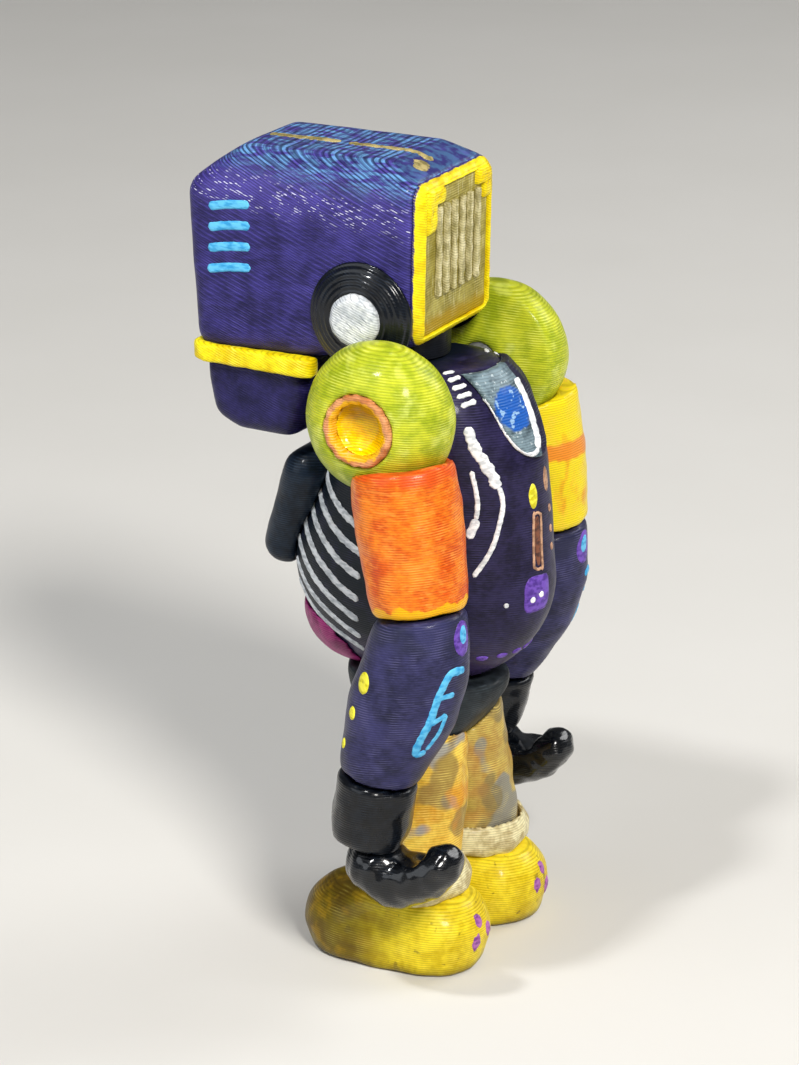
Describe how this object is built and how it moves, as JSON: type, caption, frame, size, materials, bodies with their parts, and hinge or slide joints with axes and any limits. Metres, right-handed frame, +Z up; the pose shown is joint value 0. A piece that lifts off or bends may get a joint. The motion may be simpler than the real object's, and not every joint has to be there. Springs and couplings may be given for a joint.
{
  "type": "articulated robot art toy",
  "caption": "Standing robot art toy with a box head, domed ear discs, ball shoulders, bent arms, mitten hands, patterned trousers and round boots; head, arms and hands swivel.",
  "frame": {"origin": "on the ground plane, at the middle of the figure's footprint box", "axes": "+Z up the standing figure, the figure faces -Y, its left side is +X"},
  "size_m": [0.0482, 0.0439, 0.0954],
  "materials": {
    "head_purple": "brush-painted, satin",
    "trim_yellow": "brush-painted",
    "panel_khaki": "brush-painted",
    "grille_cream": "brush-painted",
    "jaw_purple": "brush-painted",
    "screen_dark": "gloss",
    "bezel_blue": "brush-painted",
    "eye_white": "gloss",
    "ear_black": "gloss",
    "ear_silver": "brush-painted",
    "neck_black": "satin",
    "torso_dark": "brush-painted",
    "torso_navy": "brush-painted",
    "bib_dark": "brush-painted",
    "belly_pink": "brush-painted",
    "hatch_slate": "brush-painted",
    "pelvis_charcoal": "brush-painted",
    "peg_plastic": "plain printed plastic",
    "ball_lime": "brush-painted, glossy",
    "ring_orange": "brush-painted",
    "dish_yellow": "brush-painted, glossy",
    "sleeve_orange": "brush-painted",
    "forearm_purple": "brush-painted",
    "glove_black": "gloss",
    "trouser_ochre": "brush-painted patches",
    "cuff_cream": "brush-painted",
    "boot_yellow": "brush-painted"
  },
  "bodies": {
    "body": {"torso_front": "torso_dark", "torso_back": "torso_navy", "chest_bib": "bib_dark", "belly_panel": "belly_pink", "back_hatch": "hatch_slate", "pelvis": "pelvis_charcoal", "waist_peg": "peg_plastic", "hip_pegs": "peg_plastic", "trouser_left": "trouser_ochre", "trouser_right": "trouser_ochre", "trouser_cuff_left": "cuff_cream", "trouser_cuff_right": "cuff_cream", "boot_left": "boot_yellow", "boot_right": "boot_yellow", "ankle_pegs": "peg_plastic"},
    "head": {"head_shell": "head_purple", "back_frame": "trim_yellow", "back_panel": "panel_khaki", "back_grille": "grille_cream", "chin_band": "trim_yellow", "jaw": "jaw_purple", "face_screen": "screen_dark", "screen_bezel": "bezel_blue", "eye_left": "eye_white", "eye_right": "eye_white", "ear_disc_left": "ear_black", "ear_disc_right": "ear_black", "ear_cap_left": "ear_silver", "ear_cap_right": "ear_silver", "neck_post": "neck_black"},
    "arm_left": {"shoulder_ball_left": "ball_lime", "shoulder_ring_left": "ring_orange", "shoulder_dish_left": "dish_yellow", "shoulder_peg_left": "peg_plastic", "upper_arm_left": "sleeve_orange"},
    "forearm_left": {"forearm_left": "forearm_purple", "elbow_peg_left": "peg_plastic"},
    "hand_left": {"glove_cuff_left": "glove_black", "wrist_peg_left": "peg_plastic", "hand_left": "glove_black"},
    "arm_right": {"shoulder_ball_right": "ball_lime", "shoulder_ring_right": "ring_orange", "shoulder_dish_right": "dish_yellow", "shoulder_peg_right": "peg_plastic", "upper_arm_right": "sleeve_orange"},
    "forearm_right": {"forearm_right": "forearm_purple", "elbow_peg_right": "peg_plastic"},
    "hand_right": {"glove_cuff_right": "glove_black", "wrist_peg_right": "peg_plastic", "hand_right": "glove_black"}
  },
  "joints": [
    {"name": "neck_swivel", "type": "hinge", "parent": "body", "child": "head", "pos_m": [0, 0.0026, 0.0716], "axis": [0, 0, 1], "range_deg": [-8, 8]},
    {"name": "shoulder_left", "type": "hinge", "parent": "body", "child": "arm_left", "pos_m": [0.0146, 0.0071, 0.0683], "axis": [1, 0, 0], "range_deg": [-75, 40]},
    {"name": "elbow_left", "type": "hinge", "parent": "arm_left", "child": "forearm_left", "pos_m": [0.0178, 0.0143, 0.0474], "axis": [-0.0901, -0.2103, 0.9735], "range_deg": [-5, 60]},
    {"name": "wrist_left", "type": "hinge", "parent": "forearm_left", "child": "hand_left", "pos_m": [0.019, 0.01, 0.0272], "axis": [-0.0282, 0.1552, 0.9875], "range_deg": [-150, 15]},
    {"name": "shoulder_right", "type": "hinge", "parent": "body", "child": "arm_right", "pos_m": [-0.0146, 0.0071, 0.0683], "axis": [1, 0, 0], "range_deg": [-70, 45]},
    {"name": "elbow_right", "type": "hinge", "parent": "arm_right", "child": "forearm_right", "pos_m": [-0.0178, 0.01245, 0.04685], "axis": [0.0901, -0.1247, 0.9881], "range_deg": [-60, 5]},
    {"name": "wrist_right", "type": "hinge", "parent": "forearm_right", "child": "hand_right", "pos_m": [-0.019, 0.00641, 0.0271], "axis": [0.0282, 0.2406, 0.9702], "range_deg": [-15, 150]}
  ]
}
